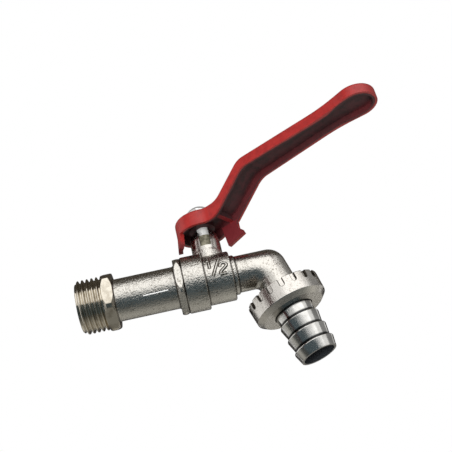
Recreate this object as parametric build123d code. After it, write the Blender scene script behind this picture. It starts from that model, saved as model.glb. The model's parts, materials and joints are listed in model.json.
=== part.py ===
# Hose tap: light ball bibcock with a screwed-in inlet connector, a lever handle
# and a barbed hose tail held by a union nut. Millimetres, +X from inlet to
# outlet, +Z up the stem, origin at the centre of the inlet end face.
from build123d import *
import os
from math import asin, atan2, cos, hypot, radians, sin, sqrt

os.makedirs("parts", exist_ok=True)

# Inlet connector
INLET_THREAD_R = 10.4775
INLET_THREAD_LENGTH = 10.1
INLET_CHAMFER = 1.1
INLET_BORE_R = 6.4
HEX_ACROSS_FLATS = 21.0
HEX_CORNER_TRIM = 0.45
HEX_CORNER_CUT = 1.0
INLET_HEX_WIDTH = 4.1
NECK_R = 8.2
NECK_LENGTH = 23.8
NECK_FILLET = 0.8
COLLAR_WIDTH = 2.8
SPIGOT_LENGTH = 4.8

# Ball, seats and chamber
BALL_R = 7.2
PORT_R = 4.1
SEAT_THICKNESS = 2.2
SEAT_REACH = 6.6
SEAT_BORE_GAP = 0.4
BODY_SEAL_THICKNESS = 0.6
BODY_SEAL_WIDTH = 1.1
BODY_SEAL_GAP = 0.2
CHAMBER_GAP = 0.5
SOCKET_BAND_R = 11.0
SOCKET_BAND_LENGTH = 8.4
BALL_BAND_R = 9.65
BALL_BAND_LIP = 0.85
BAND_EDGE = 0.4

# Bent spout
RING_R = 7.75
RING_LENGTH = 1.8
SPOUT_R = 7.15
SPOUT_BORE_R = 5.0
SPOUT_CORNER = 12.5
SPOUT_CROTCH_R = 1.5
CROTCH_SKIN = 0.02
SPOUT_ANGLE = 75.6

# Outlet thread, union nut and hose tail, measured along the outlet axis
OUTLET_THREAD_R = 13.2205
OUTLET_THREAD_LENGTH = 3.5
OUTLET_COLLAR_START = 12.2
NUT_WALL = 1.43
NUT_DRAFT = 0.35
NUT_EDGE_ROUND = 0.3
NUT_RIM_OVERLAP = 0.4
NUT_CHAMFER = 2.0
NUT_CHAMFER_LENGTH = 1.7
NUT_LIP = 1.7
NUT_LIP_GAP = 0.3
NOTCH_COUNT = 18
NOTCH_PHASE = 7.5
NOTCH_WIDTH = 1.9
NOTCH_LENGTH = 3.2
NOTCH_DEPTH = 0.9
GASKET_THICKNESS = 1.5
GASKET_BORE_GAP = 0.5
FLANGE_GAP = 1.35
FLANGE_THICKNESS = 1.5
TAIL_LENGTH = 19.3
TAIL_BORE_R = 6.2
TAIL_NECK_R = 7.65
TAIL_WAIST_R = 7.1
TAIL_NECK_LENGTH = 4.0
BARB_R = 8.1
BARB_COUNT = 3
BARB_PITCH = 5.45
BARB_STEP = 0.3
BARB_ROUND = 0.45
TAIL_ROOT_R = 7.05
TAIL_TIP_R = 7.1

# Stem tower, stem and gland
TOWER_R = 5.85
TOWER_TOP_R = 4.65
TOWER_TAPER = 5.5
TOWER_RISE = 1.9
TOWER_SLOT_WIDTH = 4.2
TOWER_SLOT_RISE = 0.3
STEM_R = 3.0
FOOT_R = 3.9
FOOT_THICKNESS = 1.1
FOOT_GAP = 0.15
THRUST_WASHER_THICKNESS = 0.8
ROOF_THICKNESS = 1.2
PACKING_HEIGHT = 1.8
GLAND_R = 4.0
GLAND_HEIGHT = 5.8
GLAND_SLOT_WIDTH = 1.4
GLAND_SLOT_DEPTH = 1.2
FLATS_GAP = 0.7
LOWER_FLATS = 5.2
UPPER_FLATS = 4.6
STEM_THREAD_R = 2.25
TANG_WIDTH = 3.2
TANG_LENGTH = 5.8
TANG_DEPTH = 2.4
TANG_BOTTOM_GAP = 0.15

# Lever
LEVER_TURN = 37.2
LEVER_SEAT_Z = 22.0
LEVER_HEAD_TOP = 26.5
HEAD_R = 10.35
SKIRT_HEIGHT = 6.4
ARM_WIDTH = 14.2
WAIST_WIDTH = 11.4
PADDLE_PLACE = 78.6
PADDLE_R = 7.6
PADDLE_FLARE = 11.6
GRIP_RISE = 10.9
GRIP_HEIGHT = 4.4
CRANK_TOP_START = 13.8
CRANK_TOP_END = 28.0
CRANK_SKIRT_START = 12.4
CRANK_SKIRT_END = 29.0
CRANK_BEND_R = 8.0
LEVER_WALL = 1.75
LEVER_PLATE = 2.2
LEVER_EDGE = 1.0
NECK_BLEND_R = 5.0
ARM_BLEND_R = 60.0
BOSS_R = 5.2
RIB_PLACE = 11.2
RIB_THICKNESS = 1.6
RIB_DROP = 4.6
FINGER_START = -148.0
FINGER_SWEEP = 35.0
FINGER_DROP = 6.0
FINGER_FLARE = 0.65
FINGER_CORNER = 1.2
TAB_START = 5.9
TAB_TIP = 7.1
TAB_END = 15.3
TAB_DROP = 7.2
TAB_END_RISE = 1.9
TAB_HEEL = 2.0
TAB_HEEL_SET = 0.65

# Domed nut and its washer
WASHER_R = 5.8
WASHER_THICKNESS = 0.8
DOME_FLATS = 10.6
DOME_HEX_HEIGHT = 2.2
DOME_HEIGHT = 3.05
DOME_THREAD_DEPTH = 4.2

# Clearances
THREAD_GAP = 0.05
RUNNING_GAP = 0.05
SLIDE_GAP = 0.1
BALL_GAP = 0.03

# Places along the body axis, and the radii of the ball chamber and the screwed joint
hex_x = INLET_THREAD_LENGTH
neck_x = hex_x + INLET_HEX_WIDTH
collar_x = neck_x + NECK_LENGTH
joint_x = collar_x + COLLAR_WIDTH
spigot_end_x = joint_x + SPIGOT_LENGTH
socket_floor_x = spigot_end_x + BODY_SEAL_THICKNESS
stem_x = spigot_end_x + SEAT_REACH
chamber_r = BALL_R + CHAMBER_GAP
seal_bore_r = chamber_r + BODY_SEAL_GAP
spigot_r = seal_bore_r + BODY_SEAL_WIDTH
chamber_floor_x = stem_x + SEAT_REACH
step_x = joint_x + SOCKET_BAND_LENGTH
band_end_x = chamber_floor_x + BALL_BAND_LIP
ring_end_x = band_end_x + RING_LENGTH
seat_bore_r = PORT_R + SEAT_BORE_GAP
corner_x = ring_end_x + SPOUT_CORNER

# Heights up the stem
foot_z = BALL_R + FOOT_GAP
thrust_z = foot_z + FOOT_THICKNESS
roof_z = thrust_z + THRUST_WASHER_THICKNESS
packing_z = roof_z + ROOF_THICKNESS
gland_z = packing_z + PACKING_HEIGHT
gland_top_z = gland_z + GLAND_HEIGHT
tower_top_z = gland_top_z + TOWER_RISE
flats_z = gland_top_z + FLATS_GAP
skirt_z = LEVER_HEAD_TOP - SKIRT_HEIGHT
washer_top_z = LEVER_HEAD_TOP + WASHER_THICKNESS
stem_top_z = washer_top_z + DOME_THREAD_DEPTH

# Place along the lever, from the stem
waist_place = PADDLE_PLACE - PADDLE_FLARE

# Places along the outlet axis, from the spout's corner, and the radii of the union
collar_end = OUTLET_COLLAR_START + OUTLET_THREAD_LENGTH
gasket_end = collar_end + GASKET_THICKNESS
flange_end = gasket_end + FLANGE_THICKNESS
nut_back = OUTLET_COLLAR_START - NUT_RIM_OVERLAP
lip_start = flange_end + SLIDE_GAP
nut_front = lip_start + NUT_LIP
nut_thread_r = OUTLET_THREAD_R + THREAD_GAP
nut_r = nut_thread_r + NUT_WALL
flange_r = nut_thread_r - FLANGE_GAP
lip_bore_r = TAIL_NECK_R + NUT_LIP_GAP
tail_end = nut_front + TAIL_LENGTH

# Local frames: the outlet axis, and the lever about the stem
outlet_direction = (cos(radians(SPOUT_ANGLE)), 0, -sin(radians(SPOUT_ANGLE)))
outlet_frame = Plane(origin=(corner_x, 0, 0), x_dir=(0, 1, 0), z_dir=outlet_direction)
stem_frame = Pos(stem_x, 0, 0)
lever_frame = Pos(stem_x, 0, 0) * Rot(0, 0, -LEVER_TURN)
ON_FLOOR = (Align.CENTER, Align.CENTER, Align.MIN)


def turned_x(points):
    """Revolve (x, radius) points about the body axis."""
    face = make_face(Polyline([(x, 0, r) for x, r in points], close=True))
    return revolve(face, Axis.X)


def turned_z(points):
    """Revolve (radius, height) points about an upright axis."""
    face = make_face(Polyline([(r, 0, z) for r, z in points], close=True))
    return revolve(face, Axis.Z)


def rod_x(radius, start, end):
    """Plain cylinder along the body axis."""
    return Pos(start, 0, 0) * Rot(0, 90, 0) * Cylinder(radius, end - start, align=ON_FLOOR)


def rod_z(radius, bottom, top):
    """Plain upright cylinder."""
    return Pos(0, 0, bottom) * Cylinder(radius, top - bottom, align=ON_FLOOR)


def ring_z(outer, inner, bottom, top):
    """Flat ring round an upright axis."""
    return rod_z(outer, bottom, top) - rod_z(inner, bottom, top)


def wrench_hexagon(start, width):
    """Hexagon along the body axis, corner up, with its corners turned off."""
    outline = Plane((start, 0, 0), x_dir=(0, 1, 0), z_dir=(1, 0, 0)) * RegularPolygon(
        HEX_ACROSS_FLATS / 2, 6, major_radius=False, rotation=30)
    corner_r = HEX_ACROSS_FLATS / sqrt(3) - HEX_CORNER_TRIM
    rim_r = corner_r - HEX_CORNER_CUT
    turned = turned_x([
        (start, 0),
        (start, rim_r),
        (start + HEX_CORNER_CUT, corner_r),
        (start + width - HEX_CORNER_CUT, corner_r),
        (start + width, rim_r),
        (start + width, 0),
    ])
    return extrude(outline, width) & turned


def double_flat(radius, across, bottom, top):
    """Round bar with two flats that face sideways."""
    slab = Pos(0, 0, bottom) * Box(2 * radius, across, top - bottom, align=ON_FLOOR)
    return rod_z(radius, bottom, top) & slab


def inlet_connector():
    """End piece with pipe thread, two hexagons, cast neck and screwed spigot."""
    shank = turned_x([
        (0, 0),
        (0, INLET_THREAD_R - INLET_CHAMFER),
        (INLET_CHAMFER, INLET_THREAD_R),
        (hex_x, INLET_THREAD_R),
        (hex_x, NECK_R),
        (joint_x, NECK_R),
        (joint_x, spigot_r),
        (spigot_end_x, spigot_r),
        (spigot_end_x, 0),
    ])
    solid = shank + wrench_hexagon(hex_x, INLET_HEX_WIDTH) + wrench_hexagon(collar_x, COLLAR_WIDTH)
    roots = solid.edges().filter_by(GeomType.CIRCLE).filter_by(
        lambda edge: abs(edge.radius - NECK_R) < SLIDE_GAP)
    solid = fillet(roots, NECK_FILLET)
    solid -= rod_x(INLET_BORE_R, 0, joint_x)
    return solid - rod_x(seat_bore_r, joint_x, spigot_end_x)


def spout_run(radius):
    """Straight run, ball-shaped corner and drop of the spout as one round bar."""
    run = rod_x(radius, band_end_x, corner_x) + Pos(corner_x, 0, 0) * Sphere(radius)
    return run + outlet_frame * rod_z(radius, 0, OUTLET_COLLAR_START)


def spout_crotch():
    """Slightly thinner bar with a wide bend that rounds the inside of the spout's corner."""
    drop_x = corner_x + OUTLET_COLLAR_START * outlet_direction[0]
    drop_z = OUTLET_COLLAR_START * outlet_direction[2]
    path = Plane.XZ * FilletPolyline(
        (ring_end_x, 0), (corner_x, 0), (drop_x, drop_z), radius=SPOUT_R + SPOUT_CROTCH_R)
    return sweep(Plane(path @ 0, z_dir=path % 0) * Circle(SPOUT_R - CROTCH_SKIN), path)


def stem_tower():
    """Round boss that tapers in a long curve to its open top."""
    shoulder_z = tower_top_z - TOWER_TAPER
    outline = Polyline((0, 0, 0), (TOWER_R, 0, 0), (TOWER_R, 0, shoulder_z))
    crown = TangentArc((TOWER_R, 0, shoulder_z), (TOWER_TOP_R, 0, tower_top_z), tangent=(0, 0, 1))
    lid = Polyline((TOWER_TOP_R, 0, tower_top_z), (0, 0, tower_top_z), (0, 0, 0))
    return stem_frame * revolve(make_face([outline, crown, lid]), Axis.Z)


def valve_body():
    """Cast chamber, stem tower and bent spout with its outlet thread."""
    chamber = turned_x([
        (joint_x, 0),
        (joint_x, SOCKET_BAND_R - BAND_EDGE),
        (joint_x + BAND_EDGE, SOCKET_BAND_R),
        (step_x - BAND_EDGE, SOCKET_BAND_R),
        (step_x, SOCKET_BAND_R - BAND_EDGE),
        (step_x, BALL_BAND_R),
        (band_end_x - BAND_EDGE, BALL_BAND_R),
        (band_end_x, BALL_BAND_R - BAND_EDGE),
        (band_end_x, RING_R),
        (ring_end_x - BAND_EDGE, RING_R),
        (ring_end_x, RING_R - BAND_EDGE),
        (ring_end_x, 0),
    ])
    thread = outlet_frame * rod_z(OUTLET_THREAD_R, OUTLET_COLLAR_START, collar_end)
    solid = chamber + stem_tower() + spout_run(SPOUT_R) + spout_crotch() + thread

    # Waterway and ball chamber
    solid -= rod_x(spigot_r + THREAD_GAP, joint_x, socket_floor_x)
    solid -= rod_x(chamber_r, socket_floor_x, chamber_floor_x)
    solid -= rod_x(SPOUT_BORE_R, chamber_floor_x, ring_end_x)
    solid -= spout_run(SPOUT_BORE_R)
    solid -= outlet_frame * rod_z(SPOUT_BORE_R, OUTLET_COLLAR_START, collar_end)

    # Stem bores, from the foot pocket up to the gland thread
    solid -= stem_frame * rod_z(FOOT_R + SLIDE_GAP, 0, roof_z)
    solid -= stem_frame * rod_z(STEM_R + RUNNING_GAP, roof_z, packing_z)
    solid -= stem_frame * rod_z(GLAND_R + THREAD_GAP, packing_z, tower_top_z)

    # Slot through both sides of the tower
    slot_z = gland_z + TOWER_SLOT_RISE
    slot = Box(TOWER_SLOT_WIDTH, 2 * TOWER_R, tower_top_z - slot_z, align=ON_FLOOR)
    return solid - stem_frame * Pos(0, 0, slot_z) * slot


def seat_ring(side):
    """Plastic seat with a hollow that fits the ball; side is -1 at the inlet, 1 at the outlet."""
    hollow_r = BALL_R + BALL_GAP
    near = SEAT_REACH - SEAT_THICKNESS
    outer_r = chamber_r - SLIDE_GAP
    lip_r = sqrt(hollow_r ** 2 - near ** 2)
    bore_near = sqrt(hollow_r ** 2 - seat_bore_r ** 2)
    middle = (near + bore_near) / 2
    hollow = ThreePointArc(
        (side * near, 0, lip_r),
        (side * middle, 0, sqrt(hollow_r ** 2 - middle ** 2)),
        (side * bore_near, 0, seat_bore_r),
    )
    rest = Polyline(
        (side * bore_near, 0, seat_bore_r),
        (side * SEAT_REACH, 0, seat_bore_r),
        (side * SEAT_REACH, 0, outer_r),
        (side * near, 0, outer_r),
        (side * near, 0, lip_r),
    )
    return stem_frame * revolve(make_face([hollow, rest]), Axis.X)


def body_seal():
    """Flat ring squeezed between the spigot's end and the socket floor."""
    outer = rod_x(spigot_r, spigot_end_x, socket_floor_x)
    return outer - rod_x(seal_bore_r, spigot_end_x, socket_floor_x)


def ball():
    """Ball with its port, and a slot across the port for the stem's tang."""
    port = Rot(0, 90, 0) * Cylinder(PORT_R, 2 * BALL_R)
    slot_z = foot_z - TANG_DEPTH - TANG_BOTTOM_GAP
    slot = Box(TANG_WIDTH + 2 * SLIDE_GAP, 2 * BALL_R, BALL_R - slot_z, align=ON_FLOOR)
    return lever_frame * (Sphere(BALL_R) - port - Pos(0, 0, slot_z) * slot)


def stem():
    """Stem with tang, foot, round shank, two sizes of flats and threaded end."""
    tang = Pos(0, 0, foot_z - TANG_DEPTH) * Box(TANG_WIDTH, TANG_LENGTH, TANG_DEPTH, align=ON_FLOOR)
    solid = tang + rod_z(FOOT_R, foot_z, thrust_z) + rod_z(STEM_R, thrust_z, flats_z)
    solid += double_flat(STEM_R, LOWER_FLATS, flats_z, LEVER_SEAT_Z)
    solid += double_flat(STEM_R, UPPER_FLATS, LEVER_SEAT_Z, LEVER_HEAD_TOP)
    return lever_frame * (solid + rod_z(STEM_THREAD_R, LEVER_HEAD_TOP, stem_top_z))


def gland_nut():
    """Brass ring nut in the tower, slotted across its top."""
    solid = ring_z(GLAND_R, STEM_R + RUNNING_GAP, gland_z, gland_top_z)
    slot = Box(GLAND_SLOT_WIDTH, 2 * GLAND_R, GLAND_SLOT_DEPTH, align=ON_FLOOR)
    return stem_frame * (solid - Pos(0, 0, gland_top_z - GLAND_SLOT_DEPTH) * Rot(0, 0, 90) * slot)


def lever_plan(inset):
    """Outline of the lever from above, drawn in by the inset: head, arm and paddle."""
    head_r = HEAD_R - inset
    half = ARM_WIDTH / 2 - inset
    waist = WAIST_WIDTH / 2 - inset
    paddle_r = PADDLE_R - inset
    lean = asin(paddle_r / hypot(PADDLE_FLARE, waist)) - atan2(waist, PADDLE_FLARE)
    touch_u = PADDLE_PLACE - paddle_r * sin(lean)
    touch_w = paddle_r * cos(lean)
    sides = [
        Polyline(
            (touch_u, side * touch_w),
            (waist_place, side * waist),
            (CRANK_SKIRT_END, side * half),
            (0, side * half),
        )
        for side in (-1, 1)
    ]
    end = ThreePointArc((touch_u, -touch_w), (PADDLE_PLACE + paddle_r, 0), (touch_u, touch_w))
    plan = Circle(head_r) + make_face(sides + [end, Line((0, -half), (0, half))])
    blends = (
        (sqrt(head_r ** 2 - half ** 2), half, NECK_BLEND_R + inset),
        (CRANK_SKIRT_END, half, ARM_BLEND_R),
        (waist_place, waist, ARM_BLEND_R),
    )
    for place, width, radius in blends:
        corners = [plan.vertices().sort_by_distance((place, side * width, 0))[0] for side in (-1, 1)]
        plan = fillet(corners, radius)
    return plan


def lever_line(crank_start, start_z, crank_end, end_z):
    """Long cranked line of the lever seen from the side."""
    points = [
        (-2 * HEAD_R, start_z),
        (crank_start, start_z),
        (crank_end, end_z),
        (PADDLE_PLACE + 2 * PADDLE_R, end_z),
    ]
    return Plane.XZ * FilletPolyline(points, radius=CRANK_BEND_R)


def lever_slab(lower, upper):
    """Full-width slab between two lines seen from the side."""
    ends = [Line(lower @ 0, upper @ 0), Line(lower @ 1, upper @ 1)]
    return extrude(make_face([lower, upper] + ends), 4 * HEAD_R, both=True)


def lever():
    """Die-cast channel lever: cranked arm, boss, cross rib, stop finger and stop tab."""
    grip_top = LEVER_HEAD_TOP + GRIP_RISE
    head_ceiling = LEVER_HEAD_TOP - LEVER_PLATE
    grip_ceiling = grip_top - LEVER_PLATE
    top_line = lever_line(CRANK_TOP_START, LEVER_HEAD_TOP, CRANK_TOP_END, grip_top)
    ceiling_line = lever_line(CRANK_TOP_START, head_ceiling, CRANK_TOP_END, grip_ceiling)
    skirt_line = lever_line(CRANK_SKIRT_START, skirt_z, CRANK_SKIRT_END, grip_top - GRIP_HEIGHT)
    floor_line = lever_line(CRANK_SKIRT_START, 0, CRANK_SKIRT_END, GRIP_RISE)
    outer = lever_slab(skirt_line, top_line) & extrude(lever_plan(0), 2 * grip_top)
    top_faces = [face for face in outer.faces() if face.normal_at().Z > 0.3]
    wall_edges = [edge for face in outer.faces() if abs(face.normal_at().Z) < 0.1 for edge in face.edges()]
    rim = ShapeList(edge for face in top_faces for edge in face.edges() if edge in wall_edges)
    outer = fillet(rim, LEVER_EDGE)
    cavity = lever_slab(floor_line, ceiling_line) & extrude(lever_plan(LEVER_WALL), 2 * grip_top)

    # Boss under the head and the cross rib that closes the head's cup
    rib_z = LEVER_HEAD_TOP - RIB_DROP
    rib = Pos(RIB_PLACE, 0, rib_z) * Box(RIB_THICKNESS, ARM_WIDTH, 2 * RIB_DROP, align=ON_FLOOR)
    solid = outer - cavity
    solid += rod_z(BOSS_R, LEVER_SEAT_Z, LEVER_HEAD_TOP)
    solid += rib & outer

    # Stop finger, a part of the skirt that reaches down and leans outwards
    inner_r = HEAD_R - LEVER_WALL
    tip_z = skirt_z - FINGER_DROP
    section = make_face(Polyline([
        (inner_r, 0, skirt_z + LEVER_WALL),
        (HEAD_R, 0, skirt_z + LEVER_WALL),
        (HEAD_R, 0, skirt_z),
        (HEAD_R + FINGER_FLARE, 0, tip_z),
        (inner_r + FINGER_FLARE, 0, tip_z),
        (inner_r, 0, skirt_z),
    ], close=True))
    finger = revolve(section, Axis.Z, FINGER_SWEEP)
    tip_edges = finger.faces().sort_by(Axis.Z)[0].edges().filter_by(GeomType.LINE)
    finger = chamfer(tip_edges.sort_by(Axis.Y)[-1], FINGER_CORNER)
    solid += Rot(0, 0, FINGER_START) * finger

    # Stop tab in the far wall
    tab_outline = make_face(Polyline([
        (TAB_START, 0, skirt_z + LEVER_WALL),
        (TAB_TIP, 0, skirt_z - TAB_DROP),
        (TAB_END, 0, skirt_z - TAB_DROP + TAB_END_RISE),
        (TAB_END - TAB_HEEL_SET, 0, skirt_z - TAB_DROP + TAB_END_RISE + TAB_HEEL),
        (TAB_END - TAB_HEEL, 0, skirt_z - TAB_HEEL),
        (TAB_END - TAB_HEEL, 0, skirt_z + LEVER_WALL),
    ], close=True))
    solid += Pos(0, ARM_WIDTH / 2, 0) * extrude(tab_outline, LEVER_WALL, dir=(0, -1, 0))
    hole = double_flat(STEM_R + SLIDE_GAP, UPPER_FLATS + 2 * SLIDE_GAP, LEVER_SEAT_Z, LEVER_HEAD_TOP)
    return lever_frame * (solid - hole)


def lever_nut():
    """Domed nut on the stem's thread."""
    dome_z = washer_top_z + DOME_HEX_HEIGHT
    hexagon = Pos(0, 0, washer_top_z) * extrude(
        RegularPolygon(DOME_FLATS / 2, 6, major_radius=False), DOME_HEX_HEIGHT)
    base_r = DOME_FLATS / 2
    dome_r = (base_r ** 2 + DOME_HEIGHT ** 2) / (2 * DOME_HEIGHT)
    cap = Pos(0, 0, dome_z + DOME_HEIGHT - dome_r) * Sphere(dome_r)
    cap &= rod_z(base_r, dome_z, dome_z + DOME_HEIGHT)
    hole = rod_z(STEM_THREAD_R + THREAD_GAP, washer_top_z, stem_top_z + SLIDE_GAP)
    return lever_frame * (hexagon + cap - hole)


def hose_nut():
    """Union nut with a turned lip in front and U-shaped notches round its back rim."""
    edge_z = nut_front - NUT_CHAMFER_LENGTH
    edge_r = nut_r - NUT_DRAFT
    shell = turned_z([
        (nut_thread_r, nut_back),
        (nut_r, nut_back),
        (edge_r, edge_z),
        (edge_r - NUT_CHAMFER, nut_front),
        (lip_bore_r, nut_front),
        (lip_bore_r, lip_start),
        (nut_thread_r, lip_start),
    ])
    rims = shell.edges().filter_by(GeomType.CIRCLE).filter_by(lambda edge: edge.radius > edge_r - SLIDE_GAP)
    shell = fillet(rims, NUT_EDGE_ROUND)
    seat = Plane((nut_r + NOTCH_DEPTH, 0, nut_back), x_dir=(0, 0, 1), z_dir=(-1, 0, 0))
    notch = extrude(seat * SlotOverall(2 * NOTCH_LENGTH, NOTCH_WIDTH), 2 * NOTCH_DEPTH)
    for index in range(NOTCH_COUNT):
        shell -= Rot(0, 0, NOTCH_PHASE + index * 360 / NOTCH_COUNT) * notch
    return outlet_frame * shell


def hose_tail():
    """Hose tail with its clamped flange and a row of round-edged barbs."""
    barb_start = nut_front + TAIL_NECK_LENGTH
    points = [
        (TAIL_BORE_R, gasket_end),
        (flange_r, gasket_end),
        (flange_r, flange_end),
        (TAIL_NECK_R, flange_end),
        (TAIL_NECK_R, nut_front),
        (TAIL_WAIST_R, barb_start),
    ]
    for index in range(BARB_COUNT):
        crest = barb_start + index * BARB_PITCH
        points.append((BARB_R, crest + BARB_STEP))
        if index < BARB_COUNT - 1:
            points.append((TAIL_ROOT_R, crest + BARB_PITCH))
    points.append((TAIL_TIP_R, tail_end))
    points.append((TAIL_BORE_R, tail_end))
    tail = turned_z(points)
    crests = tail.edges().filter_by(GeomType.CIRCLE).filter_by(
        lambda edge: abs(edge.radius - BARB_R) < SLIDE_GAP)
    return outlet_frame * fillet(crests, BARB_ROUND)


def write(name, shape):
    """Write one piece to its own file."""
    export_step(shape, f"parts/{name}.step")


write("inlet_connector", inlet_connector())
write("valve_body", valve_body())
write("body_seal", body_seal())
write("inlet_seat", seat_ring(-1))
write("outlet_seat", seat_ring(1))
write("ball", ball())
write("stem", stem())
write("stem_thrust_washer", stem_frame * ring_z(FOOT_R, STEM_R + RUNNING_GAP, thrust_z, roof_z))
write("stem_packing", stem_frame * ring_z(GLAND_R, STEM_R + RUNNING_GAP, packing_z, gland_z))
write("gland_nut", gland_nut())
write("lever", lever())
write("lever_washer", lever_frame * ring_z(WASHER_R, STEM_THREAD_R + SLIDE_GAP, LEVER_HEAD_TOP, washer_top_z))
write("lever_nut", lever_nut())
write("hose_gasket", outlet_frame * ring_z(flange_r, TAIL_BORE_R + GASKET_BORE_GAP, collar_end, gasket_end))
write("hose_nut", hose_nut())
write("hose_tail", hose_tail())
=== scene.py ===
"""Hose tap: the looks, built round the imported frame.

Metres, +X from inlet to outlet, +Z up the stem, origin at the centre of the inlet end face.
"""

import json
import logging
import math
from dataclasses import dataclass
from enum import Enum

import bmesh
import bpy
from mathutils import Matrix, Vector

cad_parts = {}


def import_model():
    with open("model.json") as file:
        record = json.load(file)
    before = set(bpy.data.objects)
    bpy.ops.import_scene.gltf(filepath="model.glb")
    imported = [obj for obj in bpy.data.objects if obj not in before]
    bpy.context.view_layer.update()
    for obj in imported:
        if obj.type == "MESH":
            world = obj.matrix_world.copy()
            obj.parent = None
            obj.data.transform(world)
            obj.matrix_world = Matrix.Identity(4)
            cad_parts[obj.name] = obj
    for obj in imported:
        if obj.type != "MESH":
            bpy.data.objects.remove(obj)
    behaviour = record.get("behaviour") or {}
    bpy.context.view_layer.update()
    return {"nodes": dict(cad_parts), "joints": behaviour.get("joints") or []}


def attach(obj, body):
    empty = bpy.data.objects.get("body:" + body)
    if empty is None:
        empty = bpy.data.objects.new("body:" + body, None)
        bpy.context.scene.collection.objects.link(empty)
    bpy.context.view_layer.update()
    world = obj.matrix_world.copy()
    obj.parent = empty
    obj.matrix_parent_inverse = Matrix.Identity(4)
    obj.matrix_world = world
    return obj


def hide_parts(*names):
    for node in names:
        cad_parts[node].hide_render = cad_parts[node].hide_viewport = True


LOG = logging.getLogger("hose_tap")
MM = 0.001
WELD = 1e-6
BODY = "body"

Colour = tuple[float, float, float]
Span = tuple[float, float]


class Finish(Enum):
    """Choice of finish, each with the name of its material."""

    CASTING = "cast_nickel"
    FIGURE = "figure_nickel"
    # Dark casting for the band of painted shade round the figures' feet.
    GRIME = "feet_shade_nickel"
    NUT = "cast_nut_nickel"
    THREAD = "turned_inlet_nickel"
    OUTLET = "turned_nickel"
    BRIGHT = "bright_plate"
    SATIN = "satin_plate"
    DOME = "dome_plate"
    STEM = "stem_plate"
    BRASS = "raw_brass"
    PAINT = "red_enamel"
    PLASTIC = "seat_plastic"
    RUBBER = "seal_rubber"


class Channel:
    """A number that changes over a surface, with arithmetic that adds Math nodes."""

    def __init__(self, tree: bpy.types.NodeTree, socket: bpy.types.NodeSocket) -> None:
        """Wrap a socket.

        Args:
            tree: Node tree that the socket belongs to.
            socket: Output socket that carries the number.
        """
        self.tree = tree
        self.socket = socket

    def _math(self, operation: str, first: object, second: object = None) -> "Channel":
        """Add one Math node.

        Args:
            operation: Blender's name of the operation.
            first: Channel or number for the first socket.
            second: Channel or number for the second socket.

        Returns:
            The result as a channel.
        """
        node = self.tree.nodes.new("ShaderNodeMath")
        node.operation = operation
        for index, value in enumerate((first, second)):
            if isinstance(value, Channel):
                self.tree.links.new(value.socket, node.inputs[index])
            elif value is not None:
                node.inputs[index].default_value = value
        return Channel(self.tree, node.outputs[0])

    def __add__(self, other: object) -> "Channel":
        """Channel plus other."""
        return self._math("ADD", self, other)

    def __radd__(self, other: object) -> "Channel":
        """Other plus channel."""
        return self._math("ADD", other, self)

    def __sub__(self, other: object) -> "Channel":
        """Channel minus other."""
        return self._math("SUBTRACT", self, other)

    def __rsub__(self, other: object) -> "Channel":
        """Other minus channel."""
        return self._math("SUBTRACT", other, self)

    def __mul__(self, other: object) -> "Channel":
        """Channel times other."""
        return self._math("MULTIPLY", self, other)

    def __rmul__(self, other: object) -> "Channel":
        """Other times channel."""
        return self._math("MULTIPLY", other, self)

    def __truediv__(self, other: object) -> "Channel":
        """Channel divided by other."""
        return self._math("DIVIDE", self, other)

    def __pow__(self, other: object) -> "Channel":
        """Channel to the power of other."""
        return self._math("POWER", self, other)

    def __abs__(self) -> "Channel":
        """Channel without its sign."""
        return self._math("ABSOLUTE", self)

    def sine(self) -> "Channel":
        """Sine of the channel in radians."""
        return self._math("SINE", self)

    def fold(self, half: float) -> "Channel":
        """Distance to the nearest multiple of twice the half period."""
        return self._math("PINGPONG", self, half)

    def share(self) -> "Channel":
        """Part of the channel above the whole number below it."""
        return self._math("FRACT", self)

    def bearing(self, other: object) -> "Channel":
        """Angle in radians of the point with the channel as height and other as base."""
        return self._math("ARCTAN2", self, other)

    def least(self, other: object) -> "Channel":
        """Smaller of the channel and other."""
        return self._math("MINIMUM", self, other)

    def most(self, other: object) -> "Channel":
        """Larger of the channel and other."""
        return self._math("MAXIMUM", self, other)


class NodeKit:
    """Adds nodes to one tree."""

    def __init__(self, tree: bpy.types.NodeTree) -> None:
        """Keep the tree.

        Args:
            tree: Node tree of a material or a world.
        """
        self.tree = tree

    def node(self, kind: str, settings: dict | None = None, sockets: dict | None = None) -> bpy.types.Node:
        """Add any node.

        Args:
            kind: Blender's type name.
            settings: Properties to set first.
            sockets: Input names or numbers with their values or links.

        Returns:
            The new node.
        """
        node = self.tree.nodes.new(kind)
        for key, value in (settings or {}).items():
            setattr(node, key, value)
        for key, value in (sockets or {}).items():
            self.feed(node.inputs[key], value)
        return node

    def feed(self, socket: bpy.types.NodeSocket, value: object) -> None:
        """Link a channel or an output to a socket, or set its value.

        Args:
            socket: Input socket.
            value: Channel, output socket or plain value.
        """
        if isinstance(value, Channel):
            self.tree.links.new(value.socket, socket)
        elif isinstance(value, bpy.types.NodeSocket):
            self.tree.links.new(value, socket)
        elif isinstance(value, tuple) and len(value) == 3 and socket.type == "RGBA":
            socket.default_value = (*value, 1.0)
        else:
            socket.default_value = value

    def channel(self, socket: bpy.types.NodeSocket) -> Channel:
        """Socket as a channel."""
        return Channel(self.tree, socket)


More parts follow.
